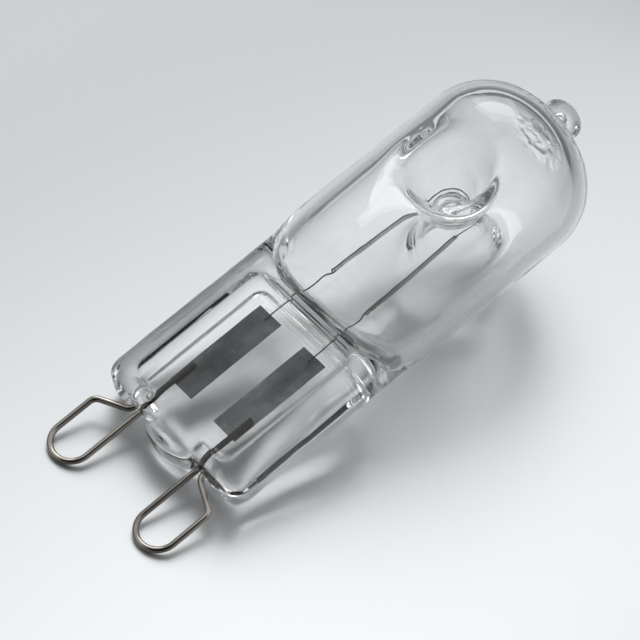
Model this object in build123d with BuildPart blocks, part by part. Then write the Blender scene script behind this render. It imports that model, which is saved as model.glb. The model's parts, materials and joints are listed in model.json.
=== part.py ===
from build123d import *
from math import asin, atan2, cos, degrees, hypot, radians, sin, tan
import os

# Two-pin halogen capsule bulb, lying on the base of its seal and the shoulder of its tube.
# Sizes are in millimetres. Along the bulb's own axis x = 0 is the base of the pressed seal and x grows
# towards the dome, y runs across the two pins, and z is square to the flat web of the seal.

# Quartz tube and dome
tube_d = 13.5
tube_wall = 1.0
tube_len = 17.7
dome_r = 9.0
dome_corner_r = 3.3
dome_wall = 1.0
shoulder_len = 4.3
shoulder_round = 3.0
shoulder_steps = 4

# Sealed exhaust tip on the dome, with the funnel left inside it
tip_d = 3.4
tip_rise = 0.4
tip_flat_d = 0.5
funnel_d = 4.4
funnel_end_d = 0.8
funnel_depth = 1.9

# Two opposed dimples that meet as a post
dimple_x = 8.0
dimple_gap = 1.1
dimple_floor_r = 1.2
dimple_round = 0.6
dimple_wall = 0.65
dimple_draft = 20.0
dimple_lip = 0.5

# Pressed seal: two rails, a recessed web and a half-round tongue between the pins
seal_len = 13.5
seal_w = 13.4
seal_t = 4.3
seal_corner_r = 1.5
base_round = 0.7
web_t = 3.2
rail_w = 1.9
recess_from_base = 1.1
recess_from_shoulder = 1.0
recess_draft = 20.0
recess_corner_r = 0.8
land_share = 0.4
tongue_w = 5.2
tongue_t = 2.4
tongue_reach = 1.0

# Slit where the tube was pressed shut, at the bottom of its inside
slit_w = 9.4
slit_t = 1.0
slit_above_seal = 0.2

# Wire pins, each bent from one wire
pin_pitch = 9.0
pin_wire_d = 0.46
pin_loop_w = 3.05
pin_reach = 6.25
pin_stub_len = 4.9
pin_shoulder_x = 1.55
pin_bend_r = 0.7
pin_end_gap = 0.12

# Foil strips in the web
foil_w = 2.2
foil_t = 0.06
foil_y = 2.25
foil_from_base = 3.0
foil_from_shoulder = 2.35

# Filament: two close-wound coils, drawn as rods of their outside diameter, and the bare bend and tails
coil_d = 0.32
lead_d = 0.14
coil_foot_y = 2.1
coil_foot_x = 2.8
coil_head_gap = 1.3
post_gap = 0.02
bend_corners = 6
tail_y = 2.25
tail_lap = 0.6
tail_kink_x = 0.55

# Values worked out from the sizes above
sides = (-1, 1)
tube_r = tube_d / 2
bore_r = tube_r - tube_wall
tube_start = seal_len + shoulder_len
dome_end = tube_start + tube_len
bore_end = dome_end - dome_wall
tip_r = tip_d / 2
tip_centre = dome_end + tip_rise
tip_flat_angle = asin(tip_flat_d / tip_d)
tip_end = tip_centre + tip_r * cos(tip_flat_angle)
post_x = tube_start + dimple_x
recess_depth = (seal_t - web_t) / 2
recess_len = seal_len - recess_from_base - recess_from_shoulder
recess_w = seal_w - 2 * rail_w
recess_inset = recess_depth * tan(radians(recess_draft))
recess_round = min(recess_corner_r, land_share * (recess_w - tongue_w) / 2)
slit_x = seal_len + slit_above_seal
pin_wire_r = pin_wire_d / 2
pin_inner_y = (pin_pitch - pin_loop_w) / 2
pin_outer_y = (pin_pitch + pin_loop_w) / 2
foil_end = seal_len - foil_from_shoulder
foil_len = foil_end - foil_from_base
foil_z = -pin_wire_r - foil_t / 2
coil_foot = seal_len + coil_foot_x
lead_r = lead_d / 2
tail_z = lead_r - pin_wire_r

# The filament bend sits in the groove where the two dimples meet
dimple_slope = tan(radians(dimple_draft))
cup_mid_r = dimple_floor_r - dimple_gap / 2 * dimple_slope
groove_r = cup_mid_r + dimple_wall / cos(radians(dimple_draft))
bend_r = groove_r + lead_r + post_gap
coil_head = post_x - coil_head_gap
bend_turns = [radians(180) * (number + 0.5) / bend_corners for number in range(bend_corners)]
bend_corner_r = bend_r / cos(radians(90) / bend_corners)

# Rest: the table is the line that touches the base round and the shoulder round from below
base_drop = seal_t / 2 - base_round
shoulder_drop = tube_r - shoulder_round
rest_run = tube_start - base_round
rest_fall = shoulder_drop - base_drop
rest_tilt = atan2(rest_fall, rest_run) + asin((shoulder_round - base_round) / hypot(rest_run, rest_fall))
rest_lift = base_round + base_drop * cos(rest_tilt) - base_round * sin(rest_tilt)
reach_back = -pin_reach * cos(rest_tilt) - pin_wire_r
reach_front = tip_centre * cos(rest_tilt) + tip_r
bulb = Plane(
    origin=(-(reach_back + reach_front) / 2, 0, rest_lift),
    x_dir=(cos(rest_tilt), 0, sin(rest_tilt)),
    z_dir=(-sin(rest_tilt), 0, cos(rest_tilt)),
)
side_plane = Plane(bulb.origin, x_dir=bulb.x_dir, z_dir=-bulb.y_dir)
bulb_axis = Axis(bulb.origin, bulb.x_dir)
post_axis = Axis(bulb.from_local_coords((post_x, 0, 0)), bulb.z_dir)


def across(x):
    """Plane square to the bulb's axis at x, with its own X across the pins."""
    return Plane(bulb.from_local_coords((x, 0, 0)), x_dir=bulb.y_dir, z_dir=bulb.x_dir)


def capped_profile(radius, end, cap_r, corner_r):
    """Half outline of a tube that starts where the shoulder ends and finishes in a shallow dome."""
    cap_centre = end - cap_r
    rim_angle = asin(radius / cap_r)
    rim = cap_centre + cap_r * cos(rim_angle)
    crown = (cap_centre + cap_r * cos(rim_angle / 2), cap_r * sin(rim_angle / 2))
    with BuildSketch() as profile:
        with BuildLine():
            Polyline((end, 0), (tube_start, 0), (tube_start, radius), (rim, radius))
            ThreePointArc((rim, radius), crown, (end, 0))
        make_face()
        rim_corner = profile.vertices().sort_by_distance((rim, radius))[0]
        fillet(rim_corner, corner_r)
    return profile.sketch


def shoulder(radius, round_r, last_half_w, last_half_t, last_x):
    """Loft the flattened shoulder: a round off the tube, then a straight flank down to the pressed seal."""
    round_run = tube_start - last_x
    round_drop = radius - round_r - last_half_t
    flank_angle = atan2(round_drop, round_run) + asin(round_r / hypot(round_run, round_drop))
    turns = [flank_angle * step / shoulder_steps for step in range(shoulder_steps + 1)]
    outline = [(round_r * sin(turn), radius - round_r * (1 - cos(turn))) for turn in turns]
    sections = []
    for run, half_t in [*outline, (round_run, last_half_t)]:
        half_w = radius + (last_half_w - radius) * run / round_run
        with BuildSketch(across(tube_start - run)) as section:
            Ellipse(half_w, half_t)
        sections.append(section.sketch)
    loft(sections, ruled=True)


def recess(side):
    """Press one recess into a face of the seal, open over the tongue and drawn in towards its floor."""
    sections = []
    for half_t, inset in ((seal_t / 2, 0), (web_t / 2, recess_inset)):
        with BuildSketch(bulb.offset(side * half_t)) as section:
            with Locations((recess_from_base + recess_len / 2, 0)):
                RectangleRounded(recess_len - 2 * inset, recess_w - 2 * inset, recess_round - inset)
            with Locations((0, 0)):
                Rectangle(2 * (recess_from_base + recess_round), tongue_w - 2 * inset)
            mouth_corners = section.vertices().sort_by_distance((recess_from_base, 0))[:2]
            fillet(mouth_corners, recess_round + inset)
        sections.append(section.sketch)
    loft(sections, ruled=True, mode=Mode.SUBTRACT)


def dimple(side, mid_r, floor, round_r):
    """Take one dimple's tapered cup away, mid_r wide at the middle of the tube and round at its floor."""
    top = 2 * tube_r
    with BuildSketch(side_plane) as cup:
        with BuildLine():
            Polyline(
                (post_x, side * floor),
                (post_x + mid_r + floor * dimple_slope, side * floor),
                (post_x + mid_r + top * dimple_slope, side * top),
                (post_x, side * top),
                close=True,
            )
        make_face()
        if round_r:
            floor_corner = cup.vertices().sort_by_distance((post_x + mid_r, side * floor))[0]
            fillet(floor_corner, round_r)
    revolve(cup.sketch, axis=post_axis, mode=Mode.SUBTRACT)


def round_wire(path, diameter, mode=Mode.ADD):
    """Draw round wire along straight runs and arcs, or the hole that it leaves in glass."""
    for run in path.edges():
        with BuildSketch(Plane(run ^ 0)) as section:
            Circle(diameter / 2)
        if run.geom_type == GeomType.LINE:
            extrude(section.sketch, amount=run.length, mode=mode)
        else:
            bend_axis = Axis(run.arc_center, (run @ 0 - run.arc_center).cross(run % 0))
            turn = degrees(run.length / run.radius)
            revolve(section.sketch, axis=bend_axis, revolution_arc=turn, mode=mode)


def coil_line(side):
    """Centre line of one coiled leg, from its foot to its head."""
    with BuildLine(bulb) as coil:
        Line((coil_foot, side * coil_foot_y), (coil_head, side * bend_r))
    return coil.line


def tail_line(side):
    """Centre line of one filament tail, from the foot of its coil to its foil."""
    with BuildLine(bulb) as tail:
        Polyline(
            (coil_foot, side * coil_foot_y, 0),
            (slit_x + tail_kink_x, side * coil_foot_y, 0),
            (foil_end, side * tail_y, tail_z),
            (foil_end - tail_lap, side * tail_y, tail_z),
        )
    return tail.line


def bend_corner(turn):
    """Corner of the filament's bend, on the round that just clears the post."""
    return (post_x + bend_corner_r * sin(turn), -bend_corner_r * cos(turn))


def wire_pin(side):
    """Bend one pin: stub, straight inner leg, loop end, outer leg and the end that comes back across."""
    loop_centre_x = pin_loop_w / 2 - pin_reach
    crossing_end = (-pin_wire_r - pin_end_gap, side * (pin_inner_y + pin_wire_d + pin_end_gap))
    with BuildPart() as pin:
        with BuildLine(bulb) as path:
            Line((pin_stub_len, side * pin_inner_y), (loop_centre_x, side * pin_inner_y))
            ThreePointArc(
                (loop_centre_x, side * pin_inner_y),
                (-pin_reach, side * pin_pitch / 2),
                (loop_centre_x, side * pin_outer_y),
            )
            FilletPolyline(
                (loop_centre_x, side * pin_outer_y),
                (-pin_shoulder_x, side * pin_outer_y),
                crossing_end,
                radius=pin_bend_r,
            )
        round_wire(path.line, pin_wire_d)
    return pin.part


def foil_strip(side):
    """Cut one foil strip, lying under its pin stub and its filament tail."""
    with BuildPart() as foil:
        with BuildSketch(bulb.offset(foil_z - foil_t / 2)):
            with Locations((foil_from_base + foil_len / 2, side * foil_y)):
                Rectangle(foil_len, foil_w)
        extrude(amount=foil_t)
    return foil.part


pin_left = wire_pin(1)
pin_right = wire_pin(-1)
foil_left = foil_strip(1)
foil_right = foil_strip(-1)

with BuildPart() as filament:
    for side in sides:
        round_wire(coil_line(side), coil_d)
        round_wire(tail_line(side), lead_d)
    with BuildLine(bulb) as bend:
        Polyline((coil_head, -bend_r), *[bend_corner(turn) for turn in bend_turns], (coil_head, bend_r))
    round_wire(bend.line, lead_d)

with BuildSketch(bulb) as bore_profile:
    add(capped_profile(bore_r, bore_end, dome_r - dome_wall, dome_corner_r - tube_wall))
    with BuildLine():
        Polyline(
            (bore_end - funnel_depth / 4, 0),
            (bore_end - funnel_depth / 4, funnel_d / 2),
            (bore_end + funnel_depth, funnel_end_d / 2),
            (bore_end + funnel_depth, 0),
            close=True,
        )
    make_face()

with BuildPart() as cavity:
    revolve(bore_profile.sketch, axis=bulb_axis)
    shoulder(bore_r, shoulder_round - tube_wall, slit_w / 2, slit_t / 2, slit_x)
    for side in sides:
        dimple(side, groove_r, 0, 0)

with BuildSketch(bulb) as skin_profile:
    add(capped_profile(tube_r, dome_end, dome_r, dome_corner_r))
    with BuildLine():
        CenterArc((tip_centre, 0), tip_r, degrees(tip_flat_angle), 180 - degrees(tip_flat_angle))
        Polyline((tip_centre - tip_r, 0), (tip_end, 0), (tip_end, tip_flat_d / 2))
    make_face()

with BuildPart() as envelope:
    with BuildSketch(across(0)):
        RectangleRounded(seal_w, seal_t, seal_corner_r)
    extrude(amount=tube_start)
    fillet(envelope.faces().sort_by(bulb_axis)[0].edges(), base_round)
    with BuildSketch(bulb.offset(-tongue_t / 2)):
        with BuildLine():
            ThreePointArc((0, -tongue_w / 2), (-tongue_reach, 0), (0, tongue_w / 2))
            Polyline(
                (0, tongue_w / 2),
                (recess_from_base, tongue_w / 2),
                (recess_from_base, -tongue_w / 2),
                (0, -tongue_w / 2),
            )
        make_face()
    extrude(amount=tongue_t)
    for side in sides:
        recess(side)
    shoulder(tube_r, shoulder_round, seal_w / 2, seal_t / 2, seal_len)
    revolve(skin_profile.sketch, axis=bulb_axis)
    for side in sides:
        dimple(side, cup_mid_r, dimple_gap / 2, dimple_round)
        over_mouth = bulb.from_local_coords((post_x, 0, side * tube_d))
        chamfer(envelope.edges(Select.LAST).sort_by_distance(over_mouth)[0], dimple_lip)
    add(cavity.part, mode=Mode.SUBTRACT)
    for piece in (pin_left, pin_right, foil_left, foil_right):
        add(piece, mode=Mode.SUBTRACT)
    for side in sides:
        round_wire(tail_line(side), lead_d, mode=Mode.SUBTRACT)

pieces = {
    "envelope": envelope.part,
    "pin_left": pin_left,
    "pin_right": pin_right,
    "foil_left": foil_left,
    "foil_right": foil_right,
    "filament": filament.part,
}
os.makedirs("parts", exist_ok=True)
for name, piece in pieces.items():
    piece.label = name
    export_step(piece, f"parts/{name}.step")
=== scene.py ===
"""Halogen capsule bulb: clear quartz, wire pins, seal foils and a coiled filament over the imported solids.

Every piece is modelled in millimetres on the bulb's own axes, where x runs from the base of the pressed
seal towards the dome, y runs across the two pins and z stands off the flat web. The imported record's
lamp_base mount says where those axes lie, and each finished piece is set down there in metres.
"""

from __future__ import annotations

import json
import logging
import math
from dataclasses import dataclass
from enum import Enum
from typing import Callable, Sequence

import bpy
from bpy.types import Material, NodeSocket, NodeTree, Object, ShaderNode
from mathutils import Matrix, Vector

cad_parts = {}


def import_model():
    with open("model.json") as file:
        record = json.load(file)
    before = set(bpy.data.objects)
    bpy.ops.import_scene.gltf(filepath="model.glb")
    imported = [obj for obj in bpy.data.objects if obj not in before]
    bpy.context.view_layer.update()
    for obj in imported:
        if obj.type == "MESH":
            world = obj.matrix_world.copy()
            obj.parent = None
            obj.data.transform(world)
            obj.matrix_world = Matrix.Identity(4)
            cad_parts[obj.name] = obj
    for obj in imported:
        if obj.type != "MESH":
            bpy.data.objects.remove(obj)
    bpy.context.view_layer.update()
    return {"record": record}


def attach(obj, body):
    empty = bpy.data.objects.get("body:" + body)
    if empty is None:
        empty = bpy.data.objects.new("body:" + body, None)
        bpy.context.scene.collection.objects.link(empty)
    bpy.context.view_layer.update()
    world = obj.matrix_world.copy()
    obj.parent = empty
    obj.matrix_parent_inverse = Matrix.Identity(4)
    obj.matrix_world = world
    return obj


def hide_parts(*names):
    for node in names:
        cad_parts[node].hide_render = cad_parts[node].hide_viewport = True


LOG = logging.getLogger("halogen_bulb")
Station = tuple[float, float, float]
Point = tuple[float, float, float]
Tone = tuple[float, float, float]
Inputs = dict[str | int, object]
SIDES = (1, -1)
QUARTER = math.radians(90)
HALF = math.radians(180)
NEAR = 0.01
WELD = "welded"
LIGHT_BOUNCES = 32


class Slot(Enum):
    """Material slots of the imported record."""

    QUARTZ = "quartz"
    PIN_WIRE = "pin_wire"
    FOIL = "foil"
    TUNGSTEN = "tungsten"


@dataclass(frozen=True)
class BulbAxes:
    """Where the bulb's own axes lie in the frame."""

    base: Vector
    along: Vector

    @classmethod
    def from_mount(cls, mount: dict) -> "BulbAxes":
        """Read the axes from the mount at the base of the seal.

        Args:
            mount: the record's lamp_base mount, whose axis points out of the base.

        Returns:
            The bulb's axes in the frame.
        """
        return cls(Vector(mount["pos_m"]), -Vector(mount["axis"]).normalized())

    def turn(self) -> Matrix:
        """Rotation from the bulb's axes to the frame's."""
        across = Vector((0.0, 1.0, 0.0))
        off_web = self.along.cross(across)
        return Matrix((self.along, across, off_web)).transposed()

    def placement(self) -> Matrix:
        """Matrix that sets a piece in millimetres down in the frame, in metres."""
        return Matrix.Translation(self.base) @ self.turn().to_4x4() @ Matrix.Scale(0.001, 4)


class Bench:
    """Operators that shape a piece, in millimetres on the bulb's own axes."""

    @staticmethod
    def only(obj: Object) -> None:
        """Select one object and make it active."""
        bpy.ops.object.select_all(action="DESELECT")
        obj.select_set(True)
        bpy.context.view_layer.objects.active = obj

    @staticmethod
    def add(
        name: str, primitive: Callable[..., set[str]], scale: Sequence[float] = (1, 1, 1), **settings: object
    ) -> Object:
        """Add a primitive with nothing else selected, and put its place into its mesh.

        Args:
            name: name of the new object.
            primitive: operator that adds it.
            scale: factors along x, y and z.
            **settings: what the operator takes.

        Returns:
            The new object.
        """
        bpy.ops.object.select_all(action="DESELECT")
        primitive(**settings)
        obj = bpy.context.active_object
        obj.name = name
        obj.data.name = name
        obj.scale = scale
        bpy.ops.object.transform_apply(location=True, rotation=True, scale=True)
        return obj

    @staticmethod
    def place(obj: Object, matrix: Matrix) -> None:
        """Move an object by a matrix, and put its place into its mesh."""
        Bench.only(obj)
        obj.matrix_world = matrix
        bpy.ops.object.transform_apply(location=True, rotation=True, scale=True)

    @staticmethod
    def edit(obj: Object, mode: str, action: str = "DESELECT") -> None:
        """Open an object in edit mode with the given select mode, and select nothing or all of it."""
        Bench.only(obj)
        bpy.ops.object.mode_set(mode="EDIT")
        bpy.ops.mesh.select_mode(type=mode)
        bpy.ops.mesh.select_all(action=action)

    @staticmethod
    def round_edges(obj: Object, *rounds: tuple[Callable[[Vector, Vector], bool], float, int]) -> None:
        """Round off some edges of an object, and turn its faces outwards.

        Args:
            obj: the object.
            *rounds: a test of an edge's two ends, the size of the round and the faces across it.
        """
        Bench.edit(obj, "EDGE")
        for wanted, radius, steps in rounds:
            bpy.ops.mesh.select_all(action="DESELECT")
            bpy.ops.object.mode_set(mode="OBJECT")
            ends = obj.data.vertices
            for edge in obj.data.edges:
                first, last = edge.vertices
                edge.select = wanted(ends[first].co, ends[last].co)
            bpy.ops.object.mode_set(mode="EDIT")
            bpy.ops.mesh.bevel(offset=radius, segments=steps, affect="EDGES")
        Bench.close(obj)

    @staticmethod
    def close(obj: Object) -> None:
        """Turn all faces outwards and leave edit mode."""
        bpy.ops.mesh.select_all(action="SELECT")
        bpy.ops.mesh.normals_make_consistent(inside=False)
        bpy.ops.object.mode_set(mode="OBJECT")
        Bench.only(obj)

    @staticmethod
    def rings(name: str, stations: Sequence[Station], sides: int) -> Object:
        """Extrude a filled ring along x through stations.

        Args:
            name: name of the new object.
            stations: x and the half sizes across y and z of each ring.
            sides: corners of a ring.

        Returns:
            A closed solid.
        """
        start, half_y, half_z = stations[0]
        obj = Bench.add(
            name, bpy.ops.mesh.primitive_circle_add, vertices=sides, radius=1.0, fill_type="NGON",
            location=(start, 0, 0), rotation=(0, QUARTER, 0),
        )
        bpy.ops.object.mode_set(mode="EDIT")
        bpy.ops.mesh.select_all(action="SELECT")
        bpy.ops.transform.resize(value=(1, half_y, half_z), center_override=(start, 0, 0))
        for (x0, y0, z0), (x1, y1, z1) in zip(stations, stations[1:]):
            bpy.ops.mesh.extrude_region_move(TRANSFORM_OT_translate={"value": (x1 - x0, 0, 0)})
            bpy.ops.transform.resize(value=(1, y1 / y0, z1 / z0), center_override=(x1, 0, 0))
        Bench.close(obj)
        return obj

    @staticmethod
    def block(name: str, low: Point, high: Point) -> Object:
        """Add a box between two corners."""
        middle = [(a + b) / 2 for a, b in zip(low, high)]
        sizes = [b - a for a, b in zip(low, high)]
        return Bench.add(name, bpy.ops.mesh.primitive_cube_add, sizes, size=1.0, location=middle)

    @staticmethod
    def apply(obj: Object, kind: str, **settings: object) -> None:
        """Add a modifier with its settings and apply it."""
        Bench.only(obj)
        modifier = obj.modifiers.new(kind.lower(), kind)
        for key, value in settings.items():
            setattr(modifier, key, value)
        bpy.ops.object.modifier_apply(modifier=modifier.name)

    @staticmethod
    def boolean(obj: Object, operation: str, tools: Sequence[Object]) -> None:
        """Add each tool's solid to an object or take it away, and remove the tools."""
        for tool in tools:
            Bench.apply(obj, "BOOLEAN", operation=operation, solver="EXACT", object=tool)
            bpy.data.objects.remove(tool)

    @staticmethod
    def join(name: str, pieces: Sequence[Object]) -> Object:
        """Join objects into the first one, under a new name."""
        Bench.only(pieces[0])
        for piece in pieces:
            piece.select_set(True)
        bpy.ops.object.join()
        pieces[0].name = name
        pieces[0].data.name = name
        return pieces[0]

    @staticmethod
    def wire(name: str, runs: Sequence[Sequence[Point]], radius: float, around: int) -> Object:
        """Make round wire along smooth runs of points.

        Args:
            name: name of the new object.
            runs: points of each run, which a smooth spline follows.
            radius: half the wire's diameter.
            around: half the number of corners round the wire, less one.

        Returns:
            A closed mesh of all the runs.
        """
        curve = bpy.data.curves.new(name, "CURVE")
        curve.dimensions = "3D"
        curve.bevel_depth = radius
        curve.bevel_resolution = around
        curve.use_fill_caps = True
        for run in runs:
            spline = curve.splines.new("NURBS")
            spline.points.add(len(run) - 1)
            for place, point in zip(spline.points, run):
                place.co = (*point, 1.0)
            spline.order_u = 3
            spline.use_endpoint_u = True
            spline.resolution_u = 6
        obj = bpy.data.objects.new(name, curve)
        bpy.context.collection.objects.link(obj)
        Bench.only(obj)
        bpy.ops.object.convert(target="MESH")
        return bpy.context.active_object


@dataclass(frozen=True)
class Nodes:
    """A shader's node tree, and what the finishes and the studio add to it."""

    tree: NodeTree
    patch_low: float = 0.3
    patch_high: float = 0.7

    def fill(self, node: ShaderNode, inputs: Inputs) -> None:
        """Set a node's inputs, each to a value or to another node's output."""
        for label, value in inputs.items():
            if isinstance(value, NodeSocket):
                self.tree.links.new(value, node.inputs[label])
            else:
                node.inputs[label].default_value = value

    def add(self, kind: str, output: str, inputs: Inputs, **settings: object) -> NodeSocket:
        """Add a node.

        Args:
            kind: the node's type, after the prefix that all of them have.
            output: label of the output that is wanted.
            inputs: what its inputs are set or linked to.
            **settings: its own settings.

        Returns:
            The wanted output.
        """
        node = self.tree.nodes.new("ShaderNode" + kind)
        for key, value in settings.items():
            setattr(node, key, value)
        self.fill(node, inputs)
        return node.outputs[output]

    def along(self, vector: NodeSocket, axis: Point) -> NodeSocket:
        """Reach of a vector along an axis."""
        return self.add("VectorMath", "Value", {0: vector, 1: axis}, operation="DOT_PRODUCT")

    def ease(self, value: NodeSocket, start: float, end: float) -> NodeSocket:
        """Ease a value from 0 to 1 between two limits."""
        inputs = {"Value": value, "From Min": start, "From Max": end}
        return self.add("MapRange", "Result", inputs, interpolation_type="SMOOTHSTEP")

    def mix(self, share: NodeSocket, first: Tone | NodeSocket, last: Tone | NodeSocket) -> NodeSocket:
        """Mix two tones by the last one's share, each a colour or another node's output."""
        start, end = ((*tone, 1.0) if isinstance(tone, tuple) else tone for tone in (first, last))
        return self.add("Mix", "Result", {"Factor": share, "A": start, "B": end}, data_type="RGBA")

    def ramp(self, value: NodeSocket, *stops: tuple[float, Tone]) -> NodeSocket:
        """Grade a value between two tones at their places."""
        colour = self.add("ValToRGB", "Color", {"Fac": value})
        for element, (position, tone) in zip(colour.node.color_ramp.elements, stops):
            element.position = position
            element.color = (*tone, 1.0)
        return colour

    def patches(self, scale: float, detail: float, stretch: float) -> NodeSocket:
        """Place the soft mottle group with its own values."""
        inputs = {"Scale": scale, "Detail": detail, "Stretch": stretch}
        return self.add("Group", "Value", inputs, node_tree=self.mottle())

    def two_tone(self, value: NodeSocket, dark: Tone, light: Tone) -> NodeSocket:
        """Grade a patchy value between two tones."""
        return self.ramp(value, (self.patch_low, dark), (self.patch_high, light))

    def spread(self, value: NodeSocket, low: float, high: float) -> NodeSocket:
        """Map a patchy value to a range."""
        limits = {"From Min": self.patch_low, "From Max": self.patch_high, "To Min": low, "To Max": high}
        return self.add("MapRange", "Result", {"Value": value, **limits})

    def bump(self, value: NodeSocket, strength: float, depth: float) -> NodeSocket:
        """Bump from a patchy value, with its depth in metres."""
        return self.add("Bump", "Normal", {"Height": value, "Strength": strength, "Distance": depth})

    @classmethod
    def mottle(cls) -> NodeTree:
        """Group of soft patches over a surface, on Object coordinates, built once.

        Returns:
            The group, with a Value output from 0 to 1.
        """
        name = "soft_mottle"
        if name in bpy.data.node_groups:
            return bpy.data.node_groups[name]
        group = bpy.data.node_groups.new(name, "ShaderNodeTree")
        for label, value in (("Scale", 300.0), ("Detail", 3.0), ("Stretch", 1.0)):
            socket = group.interface.new_socket(label, in_out="INPUT", socket_type="NodeSocketFloat")
            socket.default_value = value
        group.interface.new_socket("Value", in_out="OUTPUT", socket_type="NodeSocketFloat")
        nodes, given = cls(group), group.nodes.new("NodeGroupInput").outputs
        place = nodes.add("TexCoord", "Object", {})
        squeeze = nodes.add("CombineXYZ", "Vector", {"X": given["Stretch"], "Y": 1.0, "Z": 1.0})
        scaled = nodes.add("VectorMath", "Vector", {0: place, 1: squeeze}, operation="MULTIPLY")
        inputs = {"Vector": scaled, "Scale": given["Scale"], "Detail": given["Detail"]}
        noise = nodes.add("TexNoise", "Fac", inputs)
        nodes.fill(group.nodes.new("NodeGroupOutput"), {"Value": noise})
        return group


class Finish:
    """A material whose Principled shader a finish's own code fills in."""

    name = "finish"

    def inputs(self, nodes: Nodes) -> Inputs:
        """What the shader's inputs are set or linked to."""
        raise NotImplementedError

    def build(self) -> Material:
        """Make the material."""
        material = bpy.data.materials.new(self.name)
        material.use_nodes = True
        nodes = Nodes(material.node_tree)
        nodes.fill(nodes.tree.nodes["Principled BSDF"], self.inputs(nodes))
        return material


@dataclass(frozen=True)
class ClearQuartz(Finish):
    """Clear fused quartz, polished by fire and faintly wavy."""

    name: str = "clear_quartz"
    tint: Tone = (1.0, 1.0, 1.0)
    index: float = 1.458
    smooth: float = 0.0
    rough: float = 0.012
    wave_scale: float = 420.0
    wave_detail: float = 1.0
    wave_stretch: float = 0.5
    wave_strength: float = 0.25
    wave_depth: float = 0.00002

    def inputs(self, nodes: Nodes) -> Inputs:
        """What the shader's inputs are set or linked to."""
        wave = nodes.patches(self.wave_scale, self.wave_detail, self.wave_stretch)
        return {
            "Base Color": (*self.tint, 1.0),
            "Transmission Weight": 1.0,
            "IOR": self.index,
            "Roughness": nodes.spread(wave, self.smooth, self.rough),
            "Normal": nodes.bump(wave, self.wave_strength, self.wave_depth),
        }


@dataclass(frozen=True)
class DrawnWire(Finish):
    """Drawn metal wire with fine tone changes."""

    name: str = "drawn_wire"
    dark: Tone = (0.27, 0.24, 0.212)
    light: Tone = (0.52, 0.475, 0.43)
    smooth: float = 0.03
    rough: float = 0.09
    grain: float = 1800.0
    grain_detail: float = 4.0
    grain_strength: float = 0.3
    grain_depth: float = 0.000004
    tone_share: float = 0.3
    tone_stretch: float = 0.3
    fine_share: float = 2.0
    fine_stretch: float = 0.15

    def colour(self, nodes: Nodes, tone: NodeSocket) -> NodeSocket:
        """Colour of the metal, graded by a patchy value."""
        return nodes.two_tone(tone, self.dark, self.light)

    def inputs(self, nodes: Nodes) -> Inputs:
        """What the shader's inputs are set or linked to."""
        tone = nodes.patches(self.grain * self.tone_share, self.grain_detail, self.tone_stretch)
        fine = nodes.patches(self.grain * self.fine_share, self.grain_detail, self.fine_stretch)
        return {
            "Metallic": 1.0,
            "Base Color": self.colour(nodes, tone),
            "Roughness": nodes.spread(fine, self.smooth, self.rough),
            "Normal": nodes.bump(fine, self.grain_strength, self.grain_depth),
        }


@dataclass(frozen=True)
class PinWire(DrawnWire):
    """Drawn wire that is dull where it is welded inside the glass."""

    name: str = "pin_wire"
    welded: Tone = (0.06, 0.058, 0.056)

    def colour(self, nodes: Nodes, tone: NodeSocket) -> NodeSocket:
        """Colour of the wire, dull by the pin's own attribute."""
        buried = nodes.add("Attribute", "Fac", {}, attribute_name=WELD)
        return nodes.mix(buried, super().colour(nodes, tone), self.welded)


@dataclass(frozen=True)
class RolledFoil(DrawnWire):
    """Rolled foil, dull and coarsely streaked."""

    name: str = "rolled_foil"
    dark: Tone = (0.035, 0.0354, 0.0365)
    light: Tone = (0.175, 0.1765, 0.18)
    smooth: float = 0.22
    rough: float = 0.4
    grain: float = 900.0


@dataclass(frozen=True)
class DarkTungsten(DrawnWire):
    """Dark tungsten wire with a fine grain."""

    name: str = "dark_tungsten"
    dark: Tone = (0.035, 0.035, 0.0365)
    light: Tone = (0.1, 0.1, 0.103)
    smooth: float = 0.25
    rough: float = 0.4
    grain: float = 3000.0


@dataclass(frozen=True)
class DomedTube:
    """Round tube that finishes in a shallow dome with a round corner."""

    radius: float
    start: float
    end: float
    cap_r: float
    corner_r: float
    steps: int = 24

    @property
    def cap_x(self) -> float:
        """Where the centre of the dome's radius lies."""
        return self.end - self.cap_r

    @property
    def corner_x(self) -> float:
        """Where the tube ends and its corner starts."""
        return self.cap_x + math.sqrt((self.cap_r - self.corner_r) ** 2 - (self.radius - self.corner_r) ** 2)

    @property
    def meet(self) -> float:
        """Angle off the axis where the corner meets the dome."""
        return math.atan2(self.radius - self.corner_r, self.corner_x - self.cap_x)

    def corner(self, turn: float) -> tuple[float, float]:
        """Point of the corner at an angle off the axis."""
        core_r = self.radius - self.corner_r
        return self.corner_x + self.corner_r * math.cos(turn), core_r + self.corner_r * math.sin(turn)

    def dome(self, turn: float) -> tuple[float, float]:
        """Point of the dome at an angle off the axis."""
        return self.cap_x + self.cap_r * math.cos(turn), self.cap_r * math.sin(turn)

    def stations(self) -> list[Station]:
        """Rings along x, from the start to the dome."""
        outline = [(self.start, self.radius), (self.corner_x, self.radius)]
        for step in range(1, self.steps + 1):
            outline.append(self.corner(QUARTER + (self.meet - QUARTER) * step / self.steps))
        for step in range(1, self.steps):
            outline.append(self.dome(self.meet * (1 - step / self.steps)))
        return [(x, r, r) for x, r in outline]

    def nearest(self, x: float, r: float) -> tuple[float, float]:
        """Point of the outline that lies nearest.

        Args:
            x: place along the axis.
            r: distance from the axis.

        Returns:
            Place along the axis and distance from it.
        """
        if x <= self.corner_x:
            return x, self.radius
        turn = math.atan2(r - (self.radius - self.corner_r), x - self.corner_x)
        if turn >= self.meet:
            return self.corner(turn)
        return self.dome(math.atan2(r, x - self.cap_x))


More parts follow.
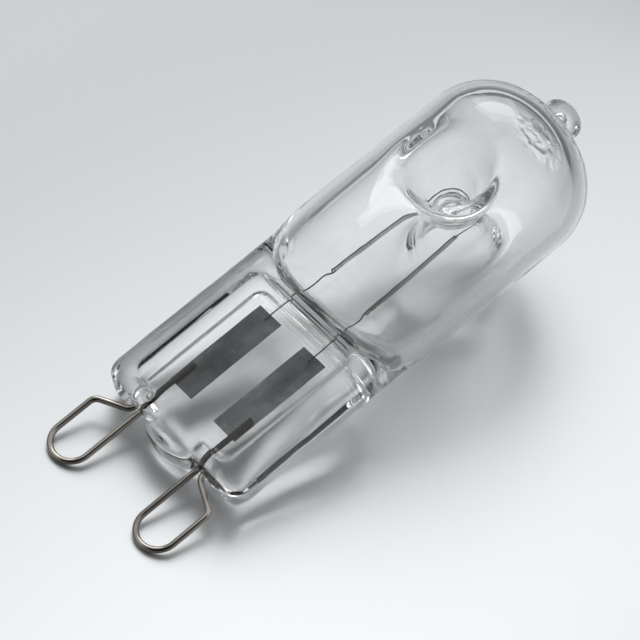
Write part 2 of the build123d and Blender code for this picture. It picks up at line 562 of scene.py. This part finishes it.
@dataclass
class Piece:
    """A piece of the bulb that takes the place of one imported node."""

    axes: BulbAxes
    node: str
    slot = Slot.QUARTZ

    def shape(self) -> Object:
        """Model the piece in millimetres on the bulb's own axes."""
        raise NotImplementedError

    def build(self, material: Material) -> Object:
        """Model the piece, dress it and set it down in the frame, on the one body.

        Args:
            material: its finish.

        Returns:
            The finished piece.
        """
        obj = self.shape()
        obj.data.materials.clear()
        obj.data.materials.append(material)
        Bench.place(obj, self.axes.placement())
        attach(obj, "root")
        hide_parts(self.node)
        return obj


@dataclass
class QuartzEnvelope(Piece):
    """Sealed quartz bulb: tube, dome, tip, dimples, shoulder and pressed seal."""

    tube_r: float = 6.75
    wall: float = 1.0
    tube_start: float = 17.8
    tube_lap: float = 0.5
    dome_end: float = 35.5
    dome_r: float = 12.0
    dome_corner_r: float = 5.0
    shoulder_round: float = 3.0
    shoulder_lap: float = 0.6
    shoulder_steps: int = 12
    seal_len: float = 13.5
    seal_lap: float = 2.0
    seal_w: float = 13.4
    seal_t: float = 4.3
    seal_corner_r: float = 1.5
    corner_steps: int = 8
    base_round: float = 1.1
    web_t: float = 3.2
    rail_w: float = 1.9
    recess_start: float = 1.1
    recess_end: float = 12.5
    recess_rise: float = 2.0
    recess_corner_r: float = 0.8
    mouth_out: float = 1.5
    mouth_in: float = 1.0
    tongue_w: float = 5.2
    tongue_t: float = 2.4
    tongue_reach: float = 1.0
    tongue_root: float = 0.4
    tongue_round: float = 0.6
    round_steps: int = 6
    slit_x: float = 13.3
    slit_half_w: float = 3.5
    slit_half_t: float = 0.5
    slit_round: float = 2.4
    slit_corner: float = 2.4
    tip_r: float = 1.62
    tip_neck_r: float = 1.35
    tip_root: float = 0.8
    tip_root_flare: float = 1.3
    tip_mid_rise: float = 0.95
    tip_end_rise: float = 2.05
    tip_first_turn: float = -42.0
    tip_last_turn: float = 87.0
    tip_steps: int = 23
    funnel_mouth_r: float = 4.0
    funnel_end_r: float = 0.45
    funnel_start: float = 33.6
    funnel_end: float = 36.8
    funnel_flare: float = 3.0
    funnel_steps: int = 15
    post_x: float = 25.8
    post_lap: float = 0.1
    dimple_gap: float = 1.1
    dimple_floor_r: float = 1.2
    dimple_round: float = 1.6
    cup_steps: int = 8
    dimple_wall: float = 0.65
    dimple_draft: float = 20.0
    dimple_flare: float = 2.2
    flare_end: float = 86.0
    flare_steps: int = 12
    lip_rise: float = 0.03
    rim_rise: float = 1.5
    rim_spread: float = 0.2
    sides: int = 192
    small_sides: int = 96
    voxel: float = 0.19
    smooth_share: float = 0.5
    smoothing: int = 8
    lip_inner_r: float = 1.8
    lip_outer_r: float = 6.0
    lip_low_z: float = 2.2
    lip_smoothing: int = 120
    flank_reach: float = 2.0
    flank_low_z: float = 1.2
    flank_rise: float = 2.0
    flank_smoothing: int = 60
    true_fade: float = 3.0
    melt: float = 0.5
    melt_wave: float = 0.65
    melt_r: float = 2.8
    melt_rise: float = 2.0
    slit_melt: float = 0.14
    slit_melt_gap: float = 2.0
    slit_melt_y: float = 3.6
    press: float = 0.05
    press_wave: float = 2.2
    press_gap: float = 1.0
    press_fade: float = 2.0
    floor_reach: float = 2.4
    floor_z: float = 1.7
    floor_depth: float = 0.16
    floor_wave: float = 0.9

    def shoulder(
        self, radius: float, round_r: float, last_x: float, half_w: float, half_t: float
    ) -> list[Station]:
        """Stations of the flattened shoulder, from the tube back to the seal.

        Args:
            radius: the tube's radius.
            round_r: radius of the round off the tube.
            last_x: where the shoulder ends.
            half_w: half its width there.
            half_t: half its thickness there.

        Returns:
            Stations along x, from inside the tube to the seal.
        """
        run = self.tube_start - last_x
        drop = radius - round_r - half_t
        flank = math.atan2(drop, run) + math.asin(round_r / math.hypot(run, drop))
        steps = self.shoulder_steps
        outline = [(-self.shoulder_lap, radius)]
        for step in range(steps + 1):
            turn = flank * step / steps
            outline.append((round_r * math.sin(turn), radius - round_r * (1 - math.cos(turn))))
        round_x, round_z = outline[-1]
        for step in range(1, steps + 1):
            part = step / steps
            outline.append((round_x + (run - round_x) * part, round_z + (half_t - round_z) * part))
        stations = []
        for x, z in outline:
            into = max(0.0, 1 - (run - x) / self.slit_corner)
            half = half_w + (radius - half_w) * math.sqrt(1 - min(into, 1.0) ** 2)
            stations.append((self.tube_start - x, half, z))
        return stations

    def dimple(self, side: int, grow: float, rim: float) -> Object:
        """Solid of one dimple's cup, with a flared mouth.

        Args:
            side: 1 for the upper dimple, -1 for the lower.
            grow: glass that lines the cup.
            rim: radius of the wall that the mouth flares out to.

        Returns:
            The cup's solid, standing along z.
        """
        draft, steep = math.radians(self.dimple_draft), math.radians(self.flare_end)
        floor = max(self.dimple_gap / 2 - grow, -self.post_lap)
        mid_r = self.dimple_floor_r - self.dimple_gap / 2 * math.tan(draft) + grow / math.cos(draft)
        foot_r = mid_r + floor * math.tan(draft)
        reach = self.dimple_round * math.tan(QUARTER / 2 - draft / 2)
        outline = [(floor, foot_r - reach)]
        for step in range(1, self.cup_steps + 1):
            turn = (QUARTER - draft) * step / self.cup_steps
            rise = self.dimple_round * (1 - math.cos(turn))
            outline.append((floor + rise, foot_r - reach + self.dimple_round * math.sin(turn)))
        flare = self.dimple_flare - grow
        lip_z = rim + self.lip_rise - flare * (math.sin(steep) - math.sin(draft))
        lip_r = mid_r + lip_z * math.tan(draft)
        for step in range(self.flare_steps + 1):
            turn = draft + (steep - draft) * step / self.flare_steps
            rise = flare * (math.sin(turn) - math.sin(draft))
            outline.append((lip_z + rise, lip_r + flare * (math.cos(draft) - math.cos(turn))))
        outline.append((rim + self.rim_rise, outline[-1][1] + self.rim_spread))
        cup = Bench.rings("dimple", [(x, r, r) for x, r in outline], self.sides // 2)
        upright = Matrix.Rotation(-QUARTER * side, 4, "Y")
        Bench.place(cup, Matrix.Translation((self.post_x, 0, 0)) @ upright)
        return cup

    def recess(self, side: int) -> Object:
        """Solid of one recess over the web, open towards the tongue."""
        low, high = self.web_t / 2, self.web_t / 2 + self.recess_rise
        upright = (lambda a, b: abs(a.z - b.z) > NEAR, self.recess_corner_r, self.round_steps)
        pieces = []
        for name, first, last, half in (
            ("recess_pocket", self.recess_start, self.recess_end, self.seal_w / 2 - self.rail_w),
            ("recess_mouth", -self.mouth_out, self.recess_start + self.mouth_in, self.tongue_w / 2),
        ):
            pieces.append(Bench.block(name, (first, -half, low), (last, half, high)))
            Bench.round_edges(pieces[-1], upright)
        pocket, mouth = pieces
        Bench.boolean(pocket, "UNION", [mouth])
        if side < 0:
            Bench.place(pocket, Matrix.Rotation(HALF, 4, "X"))
        return pocket

    def seal(self) -> Object:
        """Pressed seal: a block with rounded edges and a recess on each face."""
        half_w, half_t = self.seal_w / 2, self.seal_t / 2
        block = Bench.block(
            "pressed_seal", (0.0, -half_w, -half_t), (self.seal_len + self.seal_lap, half_w, half_t)
        )
        Bench.round_edges(
            block,
            (lambda a, b: abs(a.x - b.x) > NEAR, self.seal_corner_r, self.corner_steps),
            (lambda a, b: max(abs(a.x), abs(b.x)) < NEAR, self.base_round, self.round_steps),
        )
        Bench.boolean(block, "DIFFERENCE", [self.recess(side) for side in SIDES])
        return block

    def tongue(self) -> Object:
        """Half-round tongue of glass between the pins."""
        tongue = Bench.add(
            "seal_tongue", bpy.ops.mesh.primitive_cylinder_add,
            ((self.tongue_reach + self.tongue_root) * 2 / self.tongue_w, 1, 1),
            vertices=self.small_sides, radius=self.tongue_w / 2, depth=self.tongue_t,
            location=(self.tongue_root, 0, 0),
        )
        level = (lambda a, b: abs(a.z - b.z) < NEAR, self.tongue_round, self.round_steps)
        Bench.round_edges(tongue, level)
        return tongue

    def tip(self) -> Object:
        """Melted-off exhaust tip: a flattened bead on a neck."""
        middle = self.dome_end + self.tip_mid_rise
        tall = self.tip_end_rise - self.tip_mid_rise
        root_r = self.tip_neck_r * self.tip_root_flare
        stations = [(self.dome_end - self.tip_root, root_r, root_r)]
        span = self.tip_last_turn - self.tip_first_turn
        for step in range(self.tip_steps + 1):
            turn = math.radians(self.tip_first_turn + span * step / self.tip_steps)
            half = self.tip_r * math.cos(turn)
            stations.append((middle + tall * math.sin(turn), half, half))
        return Bench.rings("exhaust_tip", stations, self.small_sides)

    def funnel(self) -> Object:
        """Funnel of the cavity behind the exhaust tip."""
        length, spread = self.funnel_end - self.funnel_start, self.funnel_mouth_r - self.funnel_end_r
        stations = []
        for step in range(self.funnel_steps + 1):
            part = step / self.funnel_steps
            half = self.funnel_end_r + spread * (1 - part) ** self.funnel_flare
            stations.append((self.funnel_start + length * part, half, half))
        return Bench.rings("funnel", stations, self.small_sides)

    def smooth_skin(self, name: str, pieces: Sequence[Object], tube: DomedTube) -> Object:
        """Melt overlapping solids into one smooth skin.

        Args:
            name: name of the skin.
            pieces: closed solids that overlap.
            tube: the true round that the plain part of the skin keeps.

        Returns:
            The skin as one closed mesh.
        """
        skin = Bench.join(name, pieces)
        Bench.apply(skin, "REMESH", mode="VOXEL", voxel_size=self.voxel)
        for group, weight, rounds in (
            ("dimple_lips", self.lip_weight, self.lip_smoothing),
            ("flanks", self.flank_weight, self.flank_smoothing),
        ):
            self.weigh(skin, group, weight)
            Bench.apply(skin, "SMOOTH", factor=self.smooth_share, iterations=rounds, vertex_group=group)
        Bench.apply(skin, "SMOOTH", factor=self.smooth_share, iterations=self.smoothing)
        self.true_up(skin, tube)
        return skin

    @staticmethod
    def weigh(skin: Object, name: str, weight: Callable[[Vector], float]) -> None:
        """Weight a skin's vertices in a new group by their place."""
        group = skin.vertex_groups.new(name=name)
        for vertex in skin.data.vertices:
            share = min(weight(vertex.co), 1.0)
            if share > 0:
                group.add([vertex.index], share, "REPLACE")

    def lip_weight(self, place: Vector) -> float:
        """Share of the dimples' mouths, where the glass has flowed."""
        out = math.hypot(place.x - self.post_x, place.y)
        return min(out - self.lip_inner_r, self.lip_outer_r - out, abs(place.z) - self.lip_low_z)

    def flank_weight(self, place: Vector) -> float:
        """Share of the shoulder's flanks, which are drawn out smooth."""
        off_web = (abs(place.z) - self.flank_low_z) * self.flank_rise
        return min(place.x - self.seal_len, self.tube_start + self.flank_reach - place.x, off_web)

    def melt_weight(self, place: Vector) -> float:
        """Share of the sealed funnel and the corners by the slit, where the inside is rippled."""
        funnel = min(place.x - self.funnel_start, self.melt_r - math.hypot(place.y, place.z))
        slit_end = self.tube_start - self.slit_melt_gap
        slit = min(slit_end - place.x, abs(place.y) - self.slit_melt_y, self.slit_melt)
        return max(funnel, slit) * self.melt_rise

    def floor_weight(self, place: Vector) -> float:
        """Share of the dimples' floors, where the tool has left the glass uneven."""
        out = math.hypot(place.x - self.post_x, place.y)
        return min(self.floor_reach - out, self.floor_z - abs(place.z))

    def press_weight(self, place: Vector) -> float:
        """Share of the pressed seal and its shoulder, where the outside is uneven."""
        return (self.tube_start - self.press_gap - place.x) / self.press_fade

    def true_up(self, skin: Object, tube: DomedTube) -> None:
        """Bring the plain tube and dome back to true round, away from dimples, tip and shoulder."""
        for vertex in skin.data.vertices:
            x, y, z = vertex.co
            r = math.hypot(y, z)
            true_x, true_r = tube.nearest(x, r)
            if math.hypot(true_x - x, true_r - r) > self.voxel:
                continue
            off_tip = r - self.melt_r if x > tube.corner_x else 1.0
            off_lips = max(math.hypot(x - self.post_x, y) - self.lip_outer_r, self.lip_low_z - abs(z))
            share = max(0.0, min(1.0, off_tip, off_lips, (x - self.tube_start) / self.true_fade))
            vertex.co = vertex.co.lerp(Vector((true_x, y * true_r / r, z * true_r / r)), share)

    def ripple(
        self, skin: Object, name: str, weight: Callable[[Vector], float], depth: float, wave: float
    ) -> None:
        """Raise soft ripples on a weighted part of a skin, and drop its groups.

        Args:
            skin: the skin.
            name: name of the ripples.
            weight: share of the ripples at a place.
            depth: their height from low to high.
            wave: their size across.
        """
        self.weigh(skin, name, weight)
        noise = bpy.data.textures.new(name, "CLOUDS")
        noise.noise_scale = wave
        noise.noise_depth = 1
        Bench.apply(
            skin, "DISPLACE", texture=noise, texture_coords="LOCAL", strength=depth, mid_level=0.5,
            vertex_group=name,
        )
        skin.vertex_groups.clear()

    def bulb(
        self, inset: float, lining: float, neck: tuple[float, float, float, float]
    ) -> tuple[DomedTube, list[Object]]:
        """Make the tube with its dimples, and its shoulder.

        Args:
            inset: how far in from the outside the tube lies.
            lining: glass that lines the dimples.
            neck: the shoulder's round, end, half width and half thickness.

        Returns:
            The tube's true round and the two solids.
        """
        domed = DomedTube(
            self.tube_r - inset, self.tube_start - self.tube_lap, self.dome_end - inset, self.dome_r - inset,
            self.dome_corner_r - inset,
        )
        tube = Bench.rings("tube", domed.stations(), self.sides)
        Bench.boolean(tube, "DIFFERENCE", [self.dimple(side, lining, domed.radius) for side in SIDES])
        return domed, [tube, Bench.rings("shoulder", self.shoulder(domed.radius, *neck), self.sides)]

    def outer_skin(self) -> Object:
        """Outside of the glass."""
        neck = (self.shoulder_round, self.seal_len, self.seal_w / 2, self.seal_t / 2)
        domed, solids = self.bulb(0.0, 0.0, neck)
        solids += [self.seal(), self.tongue(), self.tip()]
        skin = self.smooth_skin("quartz_envelope", solids, domed)
        self.ripple(skin, "press_marks", self.press_weight, self.press, self.press_wave)
        self.ripple(skin, "dimple_floors", self.floor_weight, self.floor_depth, self.floor_wave)
        return skin

    def inner_skin(self) -> Object:
        """Wall of the sealed cavity."""
        neck = (self.slit_round, self.slit_x, self.slit_half_w, self.slit_half_t)
        domed, solids = self.bulb(self.wall, self.dimple_wall, neck)
        skin = self.smooth_skin("cavity", [*solids, self.funnel()], domed)
        self.ripple(skin, "melted_glass", self.melt_weight, self.melt, self.melt_wave)
        Bench.edit(skin, "FACE", "SELECT")
        bpy.ops.mesh.flip_normals()
        bpy.ops.object.mode_set(mode="OBJECT")
        return skin

    def shape(self) -> Object:
        """Join the two skins of the glass."""
        glass = Bench.join("quartz_envelope", [self.outer_skin(), self.inner_skin()])
        bpy.ops.object.shade_smooth()
        return glass


@dataclass
class WirePin(Piece):
    """One pin, bent from a single wire."""

    slot = Slot.PIN_WIRE
    side: int
    wire_d: float = 0.46
    pitch: float = 9.0
    loop_w: float = 3.05
    loop_steps: int = 36
    reach: float = 6.25
    stub_len: float = 4.9
    weld_start: float = 0.1
    weld_end: float = 0.5
    shoulder_x: float = 1.55
    bend_r: float = 0.7
    bend_steps: int = 12
    end_gap: float = 0.12
    end_len: float = 0.05
    around: int = 28
    merge: float = 0.001
    sharp_angle: float = 50.0

    @staticmethod
    def straight(run: float, heading: float) -> None:
        """Extrude the selected end of the wire straight on."""
        move = (run * math.cos(heading), run * math.sin(heading), 0)
        bpy.ops.mesh.extrude_region_move(TRANSFORM_OT_translate={"value": move})

    @staticmethod
    def arc(place: Vector, heading: float, radius: float, turn: float, steps: int) -> tuple[Vector, float]:
        """Spin the selected end of the wire round a bend.

        Args:
            place: centre of the wire's end.
            heading: direction of the wire, from +x towards +y.
            radius: radius of the bend.
            turn: angle of the bend, positive to the left.
            steps: steps of the spin.

        Returns:
            Centre and heading of the new end.
        """
        left = math.copysign(1.0, turn)
        centre = place + Vector((-math.sin(heading), math.cos(heading), 0)) * radius * left
        bpy.ops.mesh.spin(steps=steps, angle=-turn, center=centre, axis=(0, 0, 1))
        arm = Matrix.Rotation(turn, 3, "Z") @ (place - centre)
        return centre + arm, heading + turn

    def bend(self, inner_y: float) -> None:
        """Draw the selected ring out from the stub, round the loop and back beside the inner leg."""
        loop_r = self.loop_w / 2
        loop_x = loop_r - self.reach
        for run in (self.stub_len - self.weld_end, self.weld_end - self.weld_start, self.weld_start - loop_x):
            self.straight(run, HALF)
        place = Vector((loop_x, inner_y, 0))
        place, heading = self.arc(place, HALF, loop_r, -HALF * self.side, self.loop_steps)
        end_y = inner_y + self.side * (self.wire_d + self.end_gap)
        end = Vector((-self.wire_d / 2 - self.end_gap, end_y, 0))
        corner = Vector((-self.shoulder_x, place.y, 0))
        leave = (end - corner).normalized()
        turn = math.atan2(leave.y, leave.x)
        tangent = self.bend_r * math.tan(abs(turn) / 2)
        self.straight(corner.x - tangent - place.x, 0.0)
        place = Vector((corner.x - tangent, place.y, 0))
        place, heading = self.arc(place, 0.0, self.bend_r, turn, self.bend_steps)
        run = (end - place).length - tangent
        self.straight(run, heading)
        place += Vector((math.cos(heading), math.sin(heading), 0)) * run
        place, heading = self.arc(place, heading, self.bend_r, -turn, self.bend_steps)
        self.straight(max(-place.x, self.end_len), heading)

    def shape(self) -> Object:
        """Bend the pin, and mark the part of it that is welded."""
        inner_y = (self.pitch - self.loop_w) / 2 * self.side
        pin = Bench.add(
            f"wire_{self.node}", bpy.ops.mesh.primitive_circle_add, vertices=self.around,
            radius=self.wire_d / 2, fill_type="NGON", location=(self.stub_len, inner_y, 0),
            rotation=(0, QUARTER, 0),
        )
        Bench.edit(pin, "FACE", "SELECT")
        self.bend(inner_y)
        bpy.ops.mesh.select_all(action="SELECT")
        bpy.ops.mesh.remove_doubles(threshold=self.merge)
        Bench.close(pin)
        weld = pin.data.attributes.new(WELD, "FLOAT", "POINT")
        for vertex in pin.data.vertices:
            weld.data[vertex.index].value = 1.0 if vertex.co.x > self.weld_start + NEAR else 0.0
        bpy.ops.object.shade_smooth_by_angle(angle=math.radians(self.sharp_angle))
        return pin


@dataclass
class SealFoil(Piece):
    """One strip of foil in the web of the seal."""

    slot = Slot.FOIL
    side: int
    width: float = 2.2
    thick: float = 0.05
    start: float = 3.0
    end: float = 11.15
    middle_y: float = 2.25
    under: float = 0.26
    cells_along: int = 48
    cells_across: int = 12
    ripple: float = 0.02
    ripple_seed: int = 4
    smooth_share: float = 0.5
    smoothing: int = 3
    sharp_angle: float = 40.0

    def shape(self) -> Object:
        """Roll the strip, a little wavy."""
        foil = Bench.add(
            f"seal_{self.node}", bpy.ops.mesh.primitive_grid_add, (self.end - self.start, self.width, 1),
            x_subdivisions=self.cells_along, y_subdivisions=self.cells_across, size=1.0,
            location=((self.start + self.end) / 2, self.side * self.middle_y, -self.under),
        )
        bpy.ops.object.mode_set(mode="EDIT")
        bpy.ops.mesh.select_all(action="SELECT")
        bpy.ops.transform.vertex_random(
            offset=self.ripple, uniform=0.0, normal=1.0, seed=self.ripple_seed + self.side
        )
        bpy.ops.mesh.vertices_smooth(
            factor=self.smooth_share, repeat=self.smoothing, xaxis=False, yaxis=False, zaxis=True
        )
        bpy.ops.object.mode_set(mode="OBJECT")
        Bench.apply(foil, "SOLIDIFY", thickness=self.thick, offset=0.0)
        bpy.ops.object.shade_smooth_by_angle(angle=math.radians(self.sharp_angle))
        return foil


@dataclass
class HairpinFilament(Piece):
    """Coiled tungsten filament hooked round the glass post."""

    slot = Slot.TUNGSTEN
    coil_d: float = 0.34
    wire_d: float = 0.085
    pitch: float = 0.15
    wire_sides: int = 8
    turn_steps: int = 18
    lead_d: float = 0.11
    lead_around: int = 2
    lead_lap: float = 0.15
    foot_x: float = 16.3
    foot_y: float = 2.1
    foot_lift: float = 0.7
    head_x: float = 24.5
    bend_r: float = 1.78
    hook_start: float = 0.3
    hook_steps: int = 12
    post_x: float = 25.8
    kink_x: float = 14.25
    foil_end: float = 11.15
    tail_y: float = 2.25
    tail_z: float = -0.16
    foot_bends: tuple[Point, ...] = ((-0.5, 0.1, 0.03),)
    kinks: tuple[Point, ...] = ((0.5, 0.05, 0.0), (0.0, 0.0, 0.0), (-0.4, 0.1, -0.02))
    weld_run: tuple[float, ...] = (0.8, 0.0, -0.6)
    foot_run: tuple[float, float] = (-0.2, 0.02)

    def foot_at(self, side: int) -> float:
        """Where a leg's turns start: a little higher on the left."""
        return self.foot_x + (self.foot_lift if side > 0 else 0.0)

    def coil(self, side: int) -> Object:
        """Wind one leg's turns from its foot to its head."""
        foot = Vector((self.foot_at(side), side * self.foot_y, 0))
        head = Vector((self.head_x, side * self.bend_r, 0))
        length = (head - foot).length
        coil = Bench.add(
            f"coil_{side}", bpy.ops.mesh.primitive_circle_add, vertices=self.wire_sides,
            radius=self.wire_d / 2, fill_type="NOTHING",
            location=((self.coil_d - self.wire_d) / 2, 0, 0), rotation=(QUARTER, 0, 0),
        )
        turns = round(length / self.pitch)
        Bench.apply(
            coil, "SCREW", axis="Z", angle=2 * HALF, screw_offset=length / turns, iterations=turns,
            steps=self.turn_steps, render_steps=self.turn_steps, use_normal_calculate=True,
        )
        lean = Vector((0, 0, 1)).rotation_difference((head - foot).normalized())
        Bench.place(coil, Matrix.Translation(foot) @ lean.to_matrix().to_4x4())
        return coil

    def tail(self, side: int) -> list[Point]:
        """Points of one bare tail, from its coil's foot through its kinks to its foil."""
        foot_x, inner_y = self.foot_at(side), self.foot_y - (self.coil_d - self.wire_d) / 2
        back, lift = self.foot_run
        run = [(foot_x + self.lead_lap, inner_y, 0.0), (foot_x + back, inner_y, lift)]
        for start_x, bends in ((foot_x, self.foot_bends), (self.kink_x, self.kinks)):
            run += [(start_x + x, self.foot_y + y, z) for x, y, z in bends]
        run += [(self.foil_end + x, self.tail_y, self.tail_z) for x in self.weld_run]
        return [(x, side * y, z) for x, y, z in run]

    def hook(self) -> list[Point]:
        """Points of the bare bend round the post, from one coil's head to the other's."""
        first, second = self.head_x - self.lead_lap, self.head_x + self.hook_start
        run = [(first, -self.bend_r, 0.0), (second, -self.bend_r, 0.0)]
        for step in range(self.hook_steps + 1):
            turn = HALF * step / self.hook_steps
            run.append((self.post_x + self.bend_r * math.sin(turn), -self.bend_r * math.cos(turn), 0.0))
        return run + [(second, self.bend_r, 0.0), (first, self.bend_r, 0.0)]

    def shape(self) -> Object:
        """Wind both legs, and join them with the bare wire."""
        coils = [self.coil(side) for side in SIDES]
        runs = [self.tail(side) for side in SIDES] + [self.hook()]
        leads = Bench.wire("filament_leads", runs, self.lead_d / 2, self.lead_around)
        filament = Bench.join("coiled_filament", [*coils, leads])
        bpy.ops.object.shade_smooth()
        return filament


@dataclass
class Studio:
    """Floor with painted light and shade, soft light and the camera."""

    axes: BulbAxes
    floor_size: float = 3.0
    floor_metallic: float = 0.6
    floor_rough: float = 0.42
    # Painted sheen: the floor's colour grows brighter towards the front.
    painted_sheen_front_tone: Tone = (0.84, 0.85, 0.857)
    painted_sheen_back_tone: Tone = (0.43, 0.438, 0.443)
    # Painted shade: the floor is dark out of sight round the painted pool of light under the bulb.
    painted_shade_tone: Tone = (0.12, 0.122, 0.125)
    # Painted pool of light on the lamp's side of the floor.
    painted_lamp_pool_tone: Tone = (0.9, 0.91, 0.917)
    painted_sheen_way: Point = (-0.1, -0.995, 0.0)
    painted_sheen_reach: float = 0.032
    # Painted pool of light under the bulb, fading to painted shade further out.
    painted_pool_r: float = 0.036
    painted_shade_r: float = 0.085
    painted_lamp_pool_way: Point = (0.8, 0.6, 0.0)
    painted_lamp_pool_start: float = 0.105
    painted_lamp_pool_end: float = 0.135
    sky_tone: Tone = (0.85, 0.88, 0.9)
    sky_height: float = 0.75
    sky_strength: float = 0.95
    horizon_tone: Tone = (0.1, 0.102, 0.104)
    unlit_tone: Tone = (0.035, 0.0355, 0.0365)
    unlit_side: Point = (-0.497, -0.408, 0.766)
    shade_start: float = 0.6
    shade_end: float = 0.88
    lamp_place: Point = (0.26, 0.33, 0.44)
    lamp_size: float = 0.4
    lamp_watts: float = 1.0
    camera_place: Point = (-43.2, -83.6, 177.9)
    camera_forward: Point = (0.277, 0.408, -0.87)
    camera_right: Point = (0.744, -0.664, -0.075)
    focal_pixels: float = 3000.0
    image_pixels: float = 640.0
    sensor_width: float = 36.0
    clip_start: float = 0.01

    def floor(self) -> None:
        """Lay the floor with painted light and shade: a painted pool of light under the bulb with a painted
        sheen brighter towards the front, painted shade out of sight round it and a painted pool of light
        again by the lamp.
        """
        floor = Bench.add(
            "studio_floor", bpy.ops.mesh.primitive_plane_add, size=self.floor_size, location=(0, 0, 0)
        )
        material = bpy.data.materials.new("floor_with_painted_light")
        material.use_nodes = True
        nodes = Nodes(material.node_tree)
        place = nodes.add("TexCoord", "Object", {})
        away = nodes.add("VectorMath", "Value", {0: place}, operation="LENGTH")
        # Painted sheen: the floor's colour brightens towards the front.
        rise = nodes.ease(nodes.along(place, self.painted_sheen_way), -self.painted_sheen_reach, self.painted_sheen_reach)
        # Painted pool of light on the lamp's side of the floor, out of sight.
        lit = nodes.ease(nodes.along(place, self.painted_lamp_pool_way), self.painted_lamp_pool_start, self.painted_lamp_pool_end)
        near_painted_sheen = nodes.mix(rise, self.painted_sheen_back_tone, self.painted_sheen_front_tone)
        far_painted_shade_and_light = nodes.mix(lit, self.painted_shade_tone, self.painted_lamp_pool_tone)
        # Painted pool of light under the bulb, painted shade round it further out.
        tone = nodes.mix(nodes.ease(away, self.painted_pool_r, self.painted_shade_r), near_painted_sheen, far_painted_shade_and_light)
        inputs = {"Base Color": tone, "Metallic": self.floor_metallic, "Roughness": self.floor_rough}
        nodes.fill(nodes.tree.nodes["Principled BSDF"], inputs)
        floor.data.materials.append(material)

    def sky(self) -> None:
        """World that is pale overhead, dark towards the horizon and dark on the unlit side of the room."""
        world = bpy.data.worlds.new("soft_room")
        bpy.context.scene.world = world
        world.use_nodes = True
        nodes = Nodes(world.node_tree)
        ray = nodes.add("TexCoord", "Generated", {})
        height = nodes.add("SeparateXYZ", "Z", {"Vector": ray})
        lit = nodes.ramp(height, (0.0, self.horizon_tone), (self.sky_height, self.sky_tone))
        shade = nodes.ease(nodes.along(ray, self.unlit_side), self.shade_start, self.shade_end)
        inputs = {"Color": nodes.mix(shade, lit, self.unlit_tone), "Strength": self.sky_strength}
        nodes.fill(nodes.tree.nodes["Background"], inputs)

    def lamp(self) -> None:
        """Hang one soft square lamp that faces the bulb."""
        bpy.ops.object.light_add(type="AREA", location=self.lamp_place)
        lamp = bpy.context.active_object
        lamp.name = "softbox"
        lamp.data.size = self.lamp_size
        lamp.data.energy = self.lamp_watts
        lamp.rotation_euler = (-Vector(self.lamp_place)).to_track_quat("-Z", "Y").to_euler()

    def camera(self) -> None:
        """Set the camera at the photograph's viewing angle."""
        turn = self.axes.turn()
        back = -(turn @ Vector(self.camera_forward)).normalized()
        right = (turn @ Vector(self.camera_right)).normalized()
        up = back.cross(right).normalized()
        right = up.cross(back)
        place = self.axes.placement() @ Vector(self.camera_place)
        bpy.ops.object.camera_add()
        camera = bpy.context.active_object
        camera.name = "photo_camera"
        camera.matrix_world = Matrix.Translation(place) @ Matrix((right, up, back)).transposed().to_4x4()
        camera.data.sensor_width = self.sensor_width
        camera.data.lens = self.focal_pixels / self.image_pixels * self.sensor_width
        camera.data.clip_start = self.clip_start
        bpy.context.scene.camera = camera

    def build(self) -> None:
        """Set up the whole studio."""
        self.floor()
        self.sky()
        self.lamp()
        self.camera()


def main() -> None:
    """Build the pieces in order and report each one."""
    logging.basicConfig(level=logging.INFO, format="%(name)s: %(message)s")
    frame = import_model()
    axes = BulbAxes.from_mount(frame["record"]["mounts"][0])
    bpy.context.scene.view_settings.view_transform = "Standard"
    light_paths = bpy.context.scene.cycles
    light_paths.max_bounces = LIGHT_BOUNCES
    light_paths.glossy_bounces = LIGHT_BOUNCES
    light_paths.transmission_bounces = LIGHT_BOUNCES

    quartz = ClearQuartz().build()
    wire = PinWire().build()
    foil = RolledFoil().build()
    tungsten = DarkTungsten().build()

    pieces = [
        QuartzEnvelope(axes, "envelope").build(quartz),
        WirePin(axes, "pin_left", 1).build(wire),
        WirePin(axes, "pin_right", -1).build(wire),
        SealFoil(axes, "foil_left", 1).build(foil),
        SealFoil(axes, "foil_right", -1).build(foil),
        HairpinFilament(axes, "filament").build(tungsten),
    ]
    for piece in pieces:
        LOG.info("%s: %d faces", piece.name, len(piece.data.polygons))
    Studio(axes).build()


if __name__ == "__main__":
    main()
